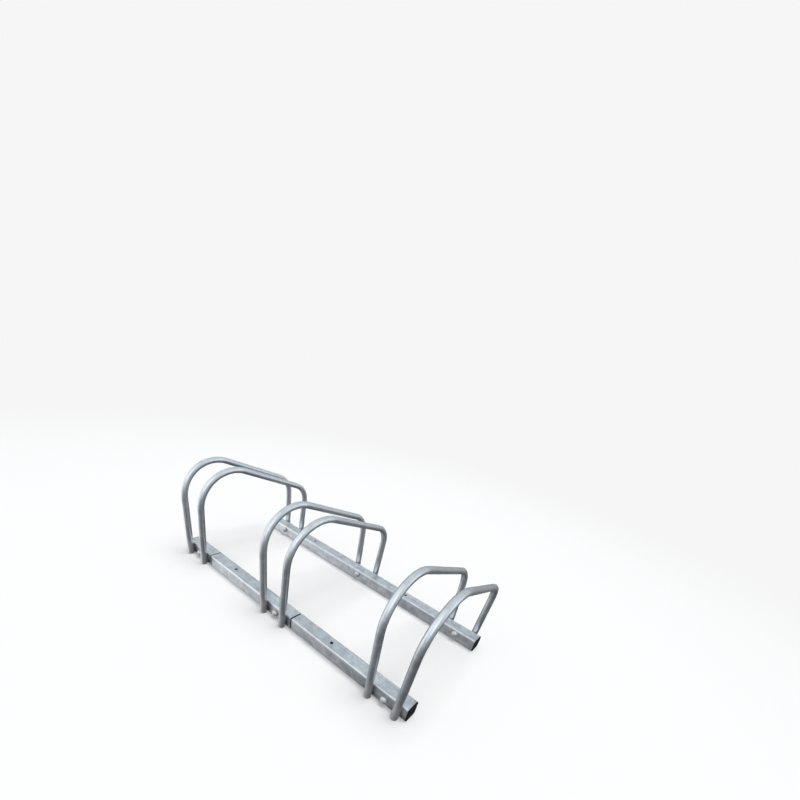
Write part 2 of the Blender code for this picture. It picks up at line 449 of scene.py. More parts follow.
@dataclass(frozen=True)
class ZincPlate:
    """Bright zinc electroplate on drawn or rolled steel.

    The plating is a pale, slightly blue metal. Under it lie the steel's lines from drawing or rolling,
    and its clear passivation leaves soft clouds, a little warmer or bluer than the rest.
    """

    name: str
    dull: str = "#b3bac2"
    bright: str = "#d0d4d8"
    roughness: float = 0.34
    lay: Lay = Lay.IN_SPACE
    # Painted light and shade laid over the plating: painted shade, painted glow and painted highlight bands
    painted_marks: tuple[PaintedLegShade | PaintedFloorGlow | PaintedCornerHighlight, ...] = ()
    dull_below: float = 0.38
    bright_above: float = 0.64
    noise_detail: float = 4.0
    cloud_mm: float = 16.0
    cloud_fineness: float = 0.55
    cloud_swirl: float = 0.6
    cloud_roughness: float = 0.08
    grain_mm: float = 2.2
    grain_length_mm: float = 70.0
    grain_fineness: float = 0.7
    grain_roughness: float = 0.09
    grain_depth_mm: float = 0.05
    grain_share: float = 0.45
    crystal_mm: float = 3.2
    crystal_roughness: float = 0.035

    def material(self) -> Material:
        """Build the material.

        Returns:
            The new material.
        """
        made, tree = new_material(self.name)
        add = partial(add_node, tree)
        if self.lay is Lay.IN_SPACE:
            place = add("ShaderNodeTexCoord").outputs["Object"]
        else:
            place = add("ShaderNodeAttribute", attribute_name=STRAIGHTENED).outputs["Vector"]
        cloud = add(
            "ShaderNodeTexNoise",
            {
                "Vector": place,
                "Scale": scale_of(self.cloud_mm),
                "Detail": self.noise_detail,
                "Roughness": self.cloud_fineness,
                "Distortion": self.cloud_swirl,
            },
        )
        across, along = scale_of(self.grain_mm), scale_of(self.grain_length_mm)
        drawn = add("ShaderNodeMapping", {"Vector": place, "Scale": (along, across, across)})
        grain = add(
            "ShaderNodeTexNoise",
            {"Vector": drawn, "Scale": 1.0, "Detail": self.noise_detail, "Roughness": self.grain_fineness},
        )
        cells = add("ShaderNodeTexVoronoi", {"Vector": place, "Scale": scale_of(self.crystal_mm)})
        pattern = {"Factor": self.grain_share, "A": cloud, "B": grain}
        colour = add("ShaderNodeValToRGB", {"Fac": add("ShaderNodeMix", pattern, data_type="FLOAT")})
        tones = ((self.dull_below, self.dull), (self.bright_above, self.bright))
        for stop, (position, tone) in zip(colour.color_ramp.elements, tones):
            stop.position, stop.color = position, linear(tone)
        # Mix each painted mark of light or shade over the plating's own colour
        for painted_mark in self.painted_marks:
            share = painted_mark.share(tree, place, cloud)
            inputs = {"Factor": share, "A": colour, "B": linear(painted_mark.colour)}
            colour = add("ShaderNodeMix", inputs, data_type="RGBA")
        steps = (
            (cloud, self.cloud_roughness),
            (grain, self.grain_roughness),
            (cells.outputs["Color"], self.crystal_roughness),
        )
        rough: Any = self.roughness - sum(share for _, share in steps)
        for source, share in steps:
            rough = add("ShaderNodeMath", {0: source, 1: 2 * share, 2: rough}, operation="MULTIPLY_ADD")
        relief = add("ShaderNodeBump", {"Height": grain, "Distance": self.grain_depth_mm * MILLIMETRE})
        shader = add(
            "ShaderNodeBsdfPrincipled",
            {"Base Color": colour, "Metallic": 1.0, "Roughness": rough, "Normal": relief},
        )
        add("ShaderNodeOutputMaterial", {"Surface": shader})
        return made


@dataclass(frozen=True)
class MouldedPolyethylene:
    """Black polyethylene from a spark eroded mould: a dense black with a fine, even, waxy texture."""

    name: str = "moulded black polyethylene"
    colour: str = "#0a0a0c"
    roughness: float = 0.8
    sheen: float = 0.2
    refraction: float = 1.51
    texture_mm: float = 0.45
    texture_detail: float = 2.0
    texture_depth_mm: float = 0.02

    def material(self) -> Material:
        """Build the material.

        Returns:
            The new material.
        """
        made, tree = new_material(self.name)
        add = partial(add_node, tree)
        place = add("ShaderNodeTexCoord").outputs["Object"]
        grain = {"Scale": scale_of(self.texture_mm), "Detail": self.texture_detail}
        texture = add("ShaderNodeTexNoise", {"Vector": place, **grain})
        relief = add("ShaderNodeBump", {"Height": texture, "Distance": self.texture_depth_mm * MILLIMETRE})
        shader = add(
            "ShaderNodeBsdfPrincipled",
            {
                "Base Color": linear(self.colour),
                "Roughness": self.roughness,
                "IOR": self.refraction,
                "Specular IOR Level": self.sheen,
                "Normal": relief,
            },
        )
        add("ShaderNodeOutputMaterial", {"Surface": shader})
        return made


class Finishes:
    """Every material of the rack, made once."""

    def __init__(self) -> None:
        """Build the materials."""
        hoop = Hoop()
        pair_pitch = box_centre("front_bolt_3").x - box_centre("front_bolt_2").x
        # Cold drawn and electroplated: fine lines along the tube, and near both ends, where the feet stand,
        # painted light for the glow thrown up from the floor
        ends = PaintedFloorGlow(hoop.tube_length)
        self.hoop = ZincPlate("zinc plated drawn tube", lay=Lay.ALONG_TUBE, painted_marks=(ends,)).material()
        # Rolled, seam welded and electroplated: broad clouds, a painted highlight in a band under the upper
        # corners, and painted shade low beside the legs
        painted_marks = (PaintedLegShade(pair_pitch, hoop.spacing), PaintedCornerHighlight())
        self.rail = ZincPlate("zinc plated square tube", "#a9b0b8", "#dadee2", painted_marks=painted_marks).material()
        # The plating bath hardly reaches the inside, which leaves it dull; its near black tone is painted
        # shade, the dark of a hollow
        self.bore = ZincPlate("thin zinc inside a tube", "#232527", "#2b2a28", roughness=0.6).material()
        # Mill scale, a dark steel of its own, here made nearly black as painted shade in the open seams
        mill_scale_and_seam_shade = ZincPlate("hot rolled steel, not plated", "#161718", "#1d1c1b", roughness=0.6)
        self.sleeve = mill_scale_and_seam_shade.material()
        self.plug = MouldedPolyethylene().material()
        # Cold headed and barrel plated: small parts, so fine and even, paler than the tubes
        small = partial(ZincPlate, cloud_mm=6.0, grain_mm=0.3, grain_length_mm=2.0, crystal_mm=0.8)
        self.bolt = small("bright zinc plated bolt", "#c6cace", "#cccbc8", roughness=0.58).material()
        self.nut = small("bright zinc plated nut", "#d5d9dd", "#dedbd2", roughness=0.28).material()
        self.washer = small("bright zinc plated washer", "#d2d6da", "#dbd8cf", roughness=0.3).material()
        # The arc has burnt the zinc off the bead: grey and matt
        self.weld = small("burnt zinc on a weld bead", "#7a7b7d", "#949391", roughness=0.5).material()


@dataclass
class Hoop:
    """One bent tube: a tall leg, a round shoulder, a falling bar, a heel bend and a short leg."""

    tube: float = 0.015
    wall: float = 0.001
    lean: float = math.radians(2.15)
    foot_lift: float = 0.0006
    spacing: float = 0.0635
    shoulder_start: float = 0.149
    shoulder_radius: float = 0.0875
    bar_fall: float = math.radians(19.1)
    heel_radius: float = 0.053
    squeeze: float = 0.035
    squeeze_run: float = 0.018
    bend_step: float = math.radians(2.5)
    sides: int = 48
    rim_round: float = 0.0002
    rim_angle: float = math.radians(60)
    sharp_angle: float = math.radians(35)

    @property
    def tube_length(self) -> float:
        """The length of the tube's centre line."""
        points, _ = self.centre_line()
        return sum((b - a).length for a, b in zip(points, points[1:]))

    def arc(self, centre: tuple[float, float], radius: float, start: float, end: float) -> list[Vector]:
        """List the points of a bend in the YZ plane.

        Args:
            centre: The bend's centre as (y, z).
            radius: Its radius.
            start: The angle of its first point.
            end: The angle of its last point.

        Returns:
            Points from start to end, with both ends.
        """
        steps = round(abs(end - start) / self.bend_step)
        angles = [start + (end - start) * step / steps for step in range(steps + 1)]
        y, z = centre
        return [Vector((0.0, y + radius * math.cos(a), z + radius * math.sin(a))) for a in angles]

    def centre_line(self) -> tuple[list[Vector], list[float]]:
        """Lay out the tube's centre line, with the legs as far apart as the CAD hoop's.

        Returns:
            The points from the tall leg's foot to the short leg's, and how far each is squeezed, 0 to 1.
        """
        _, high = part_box("hoop_1_left")
        reach = high.y - self.tube / 2
        top = math.pi / 2 - self.bar_fall
        shoulder_centre = (self.shoulder_radius - reach, self.shoulder_start)
        shoulder = self.arc(shoulder_centre, self.shoulder_radius, math.pi, top)
        bar_start = shoulder[-1]
        corner_z = bar_start.z - (reach - bar_start.y) * math.tan(self.bar_fall)
        heel_z = corner_z - self.heel_radius * math.tan(top / 2)
        heel = self.arc((reach - self.heel_radius, heel_z), self.heel_radius, top, 0.0)
        tall_foot, short_foot = (Vector((0.0, y, self.foot_lift)) for y in (-reach, reach))
        squeezed = [0.0]
        for bend, radius in ((shoulder, self.shoulder_radius), (heel, self.heel_radius)):
            last = len(bend) - 1
            step = radius * self.bend_step
            squeezed += [min(1.0, min(i, last - i) * step / self.squeeze_run) for i in range(last + 1)]
        squeezed.append(0.0)
        return [tall_foot, *shoulder, *heel, short_foot], [s * s * (3 - 2 * s) for s in squeezed]

    @staticmethod
    def recipe() -> GeometryRecipe:
        """Build the tree that sweeps a tube along a centre line.

        Returns:
            The recipe. It also stores each point's place on the tube as if the tube were straight.
        """
        sizes = dict.fromkeys(("Tube diameter", "Squeeze", "Lean"), "Float")
        made = GeometryRecipe("bent tube", {**sizes, "Sides": "Int", "Foot place": "Vector"})
        add = partial(add_node, made.tree)
        line = add("GeometryNodeMeshToCurve", {"Mesh": made.given["Geometry"]})
        length = add("GeometryNodeSplineParameter").outputs["Length"]
        here = add("GeometryNodeInputPosition").outputs["Position"]
        kept = add("GeometryNodeCaptureAttribute", {"Geometry": line})
        for label, kind, source in (("Along", "FLOAT", length), ("Centre", "VECTOR", here)):
            kept.capture_items.new(kind, label)
            made.tree.links.new(source, kept.inputs[label])
        radius = add("ShaderNodeMath", {0: made.given["Tube diameter"], 1: 0.5}, operation="MULTIPLY")
        size = {"Resolution": made.given["Sides"], "Radius": radius}
        circle = add("GeometryNodeCurvePrimitiveCircle", size)
        ring = add("GeometryNodeCaptureAttribute", {"Geometry": circle})
        ring.capture_items.new("VECTOR", "On ring")
        made.tree.links.new(here, ring.inputs["On ring"])
        swept = add("GeometryNodeCurveToMesh", {"Curve": kept, "Profile Curve": ring})
        squeezed = add("GeometryNodeInputNamedAttribute", {"Name": SQUEEZED}, data_type="FLOAT")
        amount = add("ShaderNodeMath", {0: squeezed, 1: made.given["Squeeze"]}, operation="MULTIPLY")
        # A bend flattens the tube in its own plane and widens it half as much across
        wider = add("ShaderNodeMath", {0: amount, 1: 0.5, 2: 1.0}, operation="MULTIPLY_ADD")
        flatter = add("ShaderNodeMath", {0: 1.0, 1: amount}, operation="SUBTRACT")
        scale = add("ShaderNodeCombineXYZ", {"X": wider, "Y": flatter, "Z": flatter})
        centre = kept.outputs["Centre"]
        offset = add("ShaderNodeVectorMath", {0: here, 1: centre}, operation="SUBTRACT")
        shaped = add("ShaderNodeVectorMath", {0: offset, 1: scale, 2: centre}, operation="MULTIPLY_ADD")
        moved = add("GeometryNodeSetPosition", {"Geometry": swept, "Position": shaped})
        round_tube = add("ShaderNodeSeparateXYZ", {"Vector": ring.outputs["On ring"]}).outputs
        unrolled = add(
            "ShaderNodeCombineXYZ", {"X": kept.outputs["Along"], "Y": round_tube["X"], "Z": round_tube["Y"]}
        )
        stored = add(
            "GeometryNodeStoreNamedAttribute",
            {"Geometry": moved, "Name": STRAIGHTENED, "Value": unrolled},
            data_type="FLOAT_VECTOR",
            domain="POINT",
        )
        turn = add("ShaderNodeCombineXYZ", {"Y": made.given["Lean"]})
        placing = {"Geometry": stored, "Translation": made.given["Foot place"], "Rotation": turn}
        made.finish(add("GeometryNodeTransform", placing))
        return made

    def build(self, recipe: GeometryRecipe, number: int, side: Side, material: Material) -> None:
        """Build one hoop and hand it over.

        Args:
            recipe: The tree that sweeps the tube.
            number: The number of its pair.
            side: Its side of the pair.
            material: The tube's finish.
        """
        node = f"hoop_{number}_{side.value}"
        points, squeezed = self.centre_line()
        shape = bmesh.new()
        row = [shape.verts.new(point) for point in points]
        for ends in zip(row, row[1:]):
            shape.edges.new(ends)
        piece = object_from(f"{node}_tube", shape)
        piece.data.attributes.new(SQUEEZED, "FLOAT", "POINT").data.foreach_set("value", squeezed)
        foot_x = box_centre(f"front_bolt_{number}").x + side.sign * self.spacing / 2
        recipe.put_on(
            piece,
            {
                "Tube diameter": self.tube,
                "Sides": self.sides,
                "Squeeze": self.squeeze,
                "Lean": side.sign * self.lean,
                "Foot place": (foot_x, 0.0, 0.0),
                "Material": material,
            },
        )
        add_modifier(piece, "wall", "SOLIDIFY", thickness=self.wall, offset=-1.0)
        deburr(piece, self.rim_round, self.rim_angle)
        set_plain(piece)
        shade(piece.data, self.sharp_angle)
        hand_over(piece, [node])


@dataclass
class RailTube:
    """A length of square tube with round corners, cut to length and deburred, with its drilled holes."""

    wall: float = 0.0012
    corner: float = 0.003
    corner_segments: int = 8
    corner_profile: float = 0.5
    edge_round: float = 0.0003
    edge_angle: float = math.radians(50)
    bolt_hole: float = 0.0066
    anchor_hole: float = 0.007
    hole_sides: int = 48
    drill_length: float = 0.08

    def drill(self, piece: Object, centre: Vector, diameter: float, turn: Matrix) -> Object:
        """Cut a round hole through a piece.

        Args:
            piece: The piece.
            centre: The middle of the hole.
            diameter: Its diameter.
            turn: What turns the Z axis to the hole's.

        Returns:
            The cutter, which the caller removes once the piece's mesh is plain.
        """
        shape = bmesh.new()
        radius = diameter / 2
        sizes = {"radius1": radius, "radius2": radius, "depth": self.drill_length}
        bmesh.ops.create_cone(shape, cap_ends=True, segments=self.hole_sides, **sizes)
        shape.transform(Matrix.Translation(centre) @ turn)
        cutter = object_from(f"{piece.name}_drill", shape)
        add_modifier(piece, "hole", "BOOLEAN", operation="DIFFERENCE", object=cutter)
        return cutter

    def build(
        self, node: str, holes: Iterable[tuple[Vector, float, Matrix]], outer: Material, inner: Material
    ) -> None:
        """Build one length of tube and hand it over.

        Args:
            node: The CAD node that it stands for.
            holes: The middle, diameter and turn of each hole.
            outer: The finish outside.
            inner: The finish inside, where the plating bath hardly reaches, darkened with painted shade.
        """
        shape = bmesh.new()
        bmesh.ops.create_cube(shape, size=1.0)
        bmesh.ops.scale(shape, vec=box_size(node), verts=shape.verts)
        along_x = [edge for edge in shape.edges if edge.verts[0].co.x * edge.verts[1].co.x < 0]
        bmesh.ops.bevel(
            shape,
            geom=along_x,
            offset=self.corner,
            segments=self.corner_segments,
            profile=self.corner_profile,
            affect="EDGES",
        )
        ends = [face for face in shape.faces if len(face.verts) > 4]
        bmesh.ops.delete(shape, geom=ends, context="FACES_ONLY")
        bmesh.ops.translate(shape, vec=box_centre(node), verts=shape.verts)
        piece = object_from(f"{node}_tube", shape)
        piece.data.materials.append(outer)
        piece.data.materials.append(inner)
        wall = {"thickness": self.wall, "offset": -1.0, "use_even_offset": True, "material_offset": 1}
        add_modifier(piece, "wall", "SOLIDIFY", **wall)
        cutters = [self.drill(piece, *hole) for hole in holes]
        deburr(piece, self.edge_round, self.edge_angle)
        add_modifier(piece, "flat faces stay flat", "WEIGHTED_NORMAL", keep_sharp=True)
        piece.data.shade_smooth()
        set_plain(piece)
        for cutter in cutters:
            bpy.data.objects.remove(cutter)
        hand_over(piece, [node])


@dataclass
class Rails:
    """Both rails: one length of tube for each pair of hoops, and a sleeve inside across each seam."""

    tube: RailTube = field(default_factory=RailTube)

    @staticmethod
    def anchor_places() -> list[Vector]:
        """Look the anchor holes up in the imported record.

        Returns:
            The middle of each hole.
        """
        openings = frame["record"]["physics"]["openings"]
        boxes = [gap["box_m"] for gap in openings if gap["name"].startswith("anchor_hole")]
        return [(Vector(low) + Vector(high)) / 2 for low, high in boxes]

    def build(self, finishes: Finishes) -> None:
        """Build every length of both rails and dress the sleeves.

        Args:
            finishes: The rack's materials.
        """
        upright = Matrix.Identity(4)
        level = Matrix.Rotation(math.pi / 2, 4, "X")
        anchors = self.anchor_places()
        for rail in Rail:
            for number in PAIR_NUMBERS:
                node = f"{rail.value}_rail_{number}"
                low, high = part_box(node)
                mine = [a for a in anchors if low.x < a.x < high.x and low.y < a.y < high.y]
                holes = [(a, self.tube.anchor_hole, upright) for a in mine]
                holes.append((box_centre(f"{rail.value}_bolt_{number}"), self.tube.bolt_hole, level))
                self.tube.build(node, holes, finishes.rail, finishes.bore)
            for number in SEAM_NUMBERS:
                # The sleeves get the mill scale finish, nearly black as painted shade in the seams
                sleeve = frame["nodes"][f"{rail.value}_sleeve_{number}"]
                sleeve.data.materials.clear()
                sleeve.data.materials.append(finishes.sleeve)


@dataclass
class EndPlug:
    """A moulded plug: a crowned face with a shallow dish, and a hollow skirt with gripping fins."""

    flange: float = 0.0025
    corner: float = 0.003
    least_corner: float = 0.0004
    corner_steps: int = 6
    seat_gap: float = 0.0001
    edge_round: float = 0.0008
    edge_steps: int = 3
    dish_inset: float = 0.0035
    dish_depth: float = 0.0004
    dish_bank: float = 0.0005
    dish_lip: float = 0.0012
    crown: float = 0.00005
    floor_ring: float = 0.004
    skirt_inset: float = 0.0015
    skirt_wall: float = 0.002
    skirt_length: float = 0.012
    skirt_chamfer: float = 0.0006
    pocket_draft: float = 0.0003
    fin_reach: float = 0.00025
    fin_width: float = 0.0009
    fin_slope: float = 0.0002
    fin_places: tuple[float, ...] = (0.003, 0.006, 0.009)
    sharp_angle: float = math.radians(38)

    @property
    def half_width(self) -> float:
        """Half the width of the rail that the plug closes."""
        return box_size("front_plug_left").y / 2

    def outline(self, inset: float, height: float) -> list[Vector]:
        """List the points of a square with round corners, round Z.

        Args:
            inset: How far it lies inside the rail's outline.
            height: Its height.

        Returns:
            The points, with the corner radius cut down in step with the width.
        """
        half = self.half_width - inset
        radius = max(self.corner - inset, self.least_corner)
        points = []
        for quarter in range(4):
            start = quarter * math.pi / 2
            centre = polar(1.0, start + math.pi / 4, 0.0) * (half - radius) * math.sqrt(2)
            for step in range(self.corner_steps + 1):
                angle = start + step / self.corner_steps * math.pi / 2
                points.append(centre + polar(radius, angle, height))
        return points

    def profile(self) -> list[tuple[float, float]]:
        """Give the plug's section, from the dish's floor out, round the skirt and into its pocket.

        Returns:
            Points as (distance in from the side of the rail, height above the rail's end).
        """
        top = self.flange + self.seat_gap
        dish, skirt, end = self.dish_inset, self.skirt_inset, -self.skirt_length
        points = [
            (dish + self.floor_ring, top - self.dish_depth),
            (dish, top - self.dish_depth),
            (dish - self.dish_bank, top - self.dish_depth * 0.5),
            (dish - self.dish_lip, top - self.crown),
        ]
        for step in range(self.edge_steps + 1):
            angle = math.pi / 2 * step / self.edge_steps
            fall = self.edge_round * (1 - math.cos(angle))
            points.append((self.edge_round * (1 - math.sin(angle)), top - fall))
        points += [(0.0, self.seat_gap), (skirt, self.seat_gap)]
        for place in self.fin_places:
            near, far = -place + self.fin_width / 2, -place - self.fin_width / 2
            out, slope = skirt - self.fin_reach, self.fin_slope
            points += [(skirt, near), (out, near - slope), (out, far + slope), (skirt, far)]
        inside = skirt + self.skirt_wall
        points += [(skirt, end + self.skirt_chamfer), (skirt + self.skirt_chamfer, end)]
        points += [(inside, end), (inside + self.pocket_draft, 0.0)]
        return points

    def build(self, rail: Rail, side: Side, material: Material) -> None:
        """Build one plug and hand it over.

        Args:
            rail: The rail that it closes.
            side: The end that it closes.
            material: The plug's finish.
        """
        node = f"{rail.value}_plug_{side.value}"
        pair = PAIR_NUMBERS[0] if side is Side.LEFT else PAIR_NUMBERS[-1]
        low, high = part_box(f"{rail.value}_rail_{pair}")
        end = Vector((low.x if side is Side.LEFT else high.x, (low.y + high.y) / 2, (low.z + high.z) / 2))
        shape = skin([self.outline(*point) for point in self.profile()])
        shape.transform(Matrix.Translation(end) @ Matrix.Rotation(side.sign * math.pi / 2, 4, "Y"))
        piece = object_from(f"{node}_moulding", shape)
        shade(piece.data, self.sharp_angle)
        piece.data.materials.append(material)
        hand_over(piece, [node])


@dataclass
class Fasteners:
    """A domed bolt, a washer and a hexagon nut through the rail under each pair of hoops."""

    shank: float = 0.006
    pitch: float = 0.001
    thread_depth: float = 0.00055
    thread_length: float = 0.018
    thread_rows: int = 10
    thread_fade: float = 0.0012
    tip_chamfer: float = 0.0008
    head: float = 0.015
    head_wall: float = 0.0025
    head_dome: float = 0.004
    dome_steps: int = 12
    dome_lip: float = 0.0001
    rim_drop: float = 0.0004
    edge_break: float = 0.0003
    washer_hole: float = 0.0064
    washer_edge: float = 0.00025
    nut_flats: float = 0.010
    nut_face: float = 0.0094
    nut_slope: float = math.radians(30)
    countersink: float = 0.0005
    bolt_seed: int = 3
    washer_seed: int = 5
    nut_seed: int = 7
    sides: int = 72
    sharp_angle: float = math.radians(32)

    @property
    def head_height(self) -> float:
        """The whole height of a bolt's head."""
        return self.head_wall + self.head_dome

    @staticmethod
    def recipe() -> GeometryRecipe:
        """Build the tree that puts one fastener on every seat, each turned by its own angle.

        Returns:
            The recipe.
        """
        made = GeometryRecipe("fasteners on their seats", {"Fastener": "Object", "Seed": "Int"})
        add = partial(add_node, made.tree)
        model = add("GeometryNodeObjectInfo", {"Object": made.given["Fastener"]}).outputs["Geometry"]
        draw = {"Max": math.tau, "Seed": made.given["Seed"]}
        turn = add("FunctionNodeRandomValue", draw, data_type="FLOAT")
        about_y = add("ShaderNodeCombineXYZ", {"Y": turn})
        seating = {"Points": made.given["Geometry"], "Instance": model, "Rotation": about_y}
        made.finish(add("GeometryNodeInstanceOnPoints", seating))
        return made

    def bolt(self, length: float) -> BMesh:
        """Model a bolt along Z, with its head's underside at the origin.

        Args:
            length: The length of the shank.

        Returns:
            The closed shape.
        """
        rise, rim, radius, edge = self.head_dome, self.head / 2, self.shank / 2, self.edge_break
        sphere = (rim ** 2 + rise ** 2) / (2 * rise)
        spread = math.asin(rim / sphere)
        start = self.thread_length - length
        section = []
        for step in range(1, self.dome_steps + 1):
            angle = spread * step / self.dome_steps
            fall = sphere * (1 - math.cos(angle))
            section.append((min(sphere * math.sin(angle), rim - self.dome_lip), self.head_height - fall))
        section += [
            (rim, self.head_wall - self.rim_drop),
            (rim, edge),
            (rim - edge, 0.0),
            (radius + edge, 0.0),
            (radius, -edge),
            (radius, start + self.thread_fade),
        ]
        rings = circles(section, self.sides)
        rows = round(self.thread_length / self.pitch * self.thread_rows)
        for row in range(rows + 1):
            depth = self.thread_length * row / rows
            fade = min(1.0, depth / self.thread_fade)
            chamfer = radius - self.tip_chamfer + (self.thread_length - depth)
            ring = []
            for i in range(self.sides):
                share = (depth / self.pitch + i / self.sides) % 1.0
                groove = self.thread_depth * fade * (1 - abs(2 * share - 1))
                ring.append(polar(min(radius - groove, chamfer), math.tau * i / self.sides, start - depth))
            rings.append(ring)
        return skin(rings)

    def washer(self, outer: float, thickness: float) -> BMesh:
        """Model a washer round Z, centred on the origin.

        Args:
            outer: Its outer diameter.
            thickness: Its thickness.

        Returns:
            The closed shape.
        """
        half, edge = thickness / 2, self.washer_edge
        upper = [
            (self.washer_hole / 2, half - edge),
            (self.washer_hole / 2 + edge, half),
            (outer / 2 - edge, half),
            (outer / 2, half - edge),
        ]
        lower = [(radius, -height) for radius, height in reversed(upper)]
        return skin(circles(upper + lower, self.sides), has_hole=True)

    def nut(self, thickness: float) -> BMesh:
        """Model a hexagon nut round Z, centred on the origin, with its corners chamfered at both faces.

        Args:
            thickness: Its thickness.

        Returns:
            The closed shape.
        """
        half, face, bore = thickness / 2, self.nut_face / 2, self.shank / 2
        chamfered = []
        for up in (1, -1):
            ring = []
            for i in range(self.sides):
                angle = math.tau * i / self.sides
                # The middles of a hexagon's flats lie a sixth of a turn apart
                off_flat = (angle + math.pi / 6) % (math.pi / 3) - math.pi / 6
                reach = self.nut_flats / 2 / math.cos(off_flat)
                drop = max(reach - face, 0.0) * math.tan(self.nut_slope)
                ring.append(polar(reach, angle, up * (half - drop)))
            chamfered.append(ring)
        upper = [(bore, half - self.countersink), (bore + self.countersink, half), (face, half)]
        lower = [(radius, -height) for radius, height in reversed(upper)]
        rings = [*circles(upper, self.sides), *chamfered, *circles(lower, self.sides)]
        return skin(rings, has_hole=True)

    def place(
        self,
        kind: str,
        shape: BMesh,
        lift: float | None,
        seed: int,
        recipe: GeometryRecipe,
        material: Material,
    ) -> None:
        """Put one shape on the seat of every CAD node of its kind and hand the set over.

        Args:
            kind: The middle word of the nodes' names.
            shape: The fastener along Z, which is used up.
            lift: How far the shape's origin lies from the node's low Y side, or None for its middle.
            seed: The seed of their turns.
            recipe: The tree that seats the fasteners.
            material: Their finish.
        """
        shape.transform(Matrix.Rotation(math.pi / 2, 4, "X"))
        model = object_from(f"{kind}_model", shape)
        shade(model.data, self.sharp_angle)
        nodes = [f"{rail.value}_{kind}_{number}" for rail in Rail for number in PAIR_NUMBERS]
        seats = bmesh.new()
        for node in nodes:
            low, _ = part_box(node)
            seat = box_centre(node)
            if lift is not None:
                seat.y = low.y + lift
            seats.verts.new(seat)
        piece = object_from(f"{kind}s", seats)
        recipe.put_on(piece, {"Fastener": model, "Seed": seed, "Material": material})
        set_plain(piece)
        bpy.data.objects.remove(model)
        hand_over(piece, nodes)

    def build(self, finishes: Finishes) -> None:
        """Build all bolts, washers and nuts.

        Args:
            finishes: The rack's materials.
        """
        recipe = self.recipe()
        head = self.head_height
        bolt = self.bolt(box_size("front_bolt_1").y - head)
        self.place("bolt", bolt, head, self.bolt_seed, recipe, finishes.bolt)
        outer, thickness, _ = box_size("front_washer_1")
        washer = self.washer(outer, thickness)
        self.place("washer", washer, None, self.washer_seed, recipe, finishes.washer)
        nut = self.nut(box_size("front_nut_1").y)
        self.place("nut", nut, None, self.nut_seed, recipe, finishes.nut)


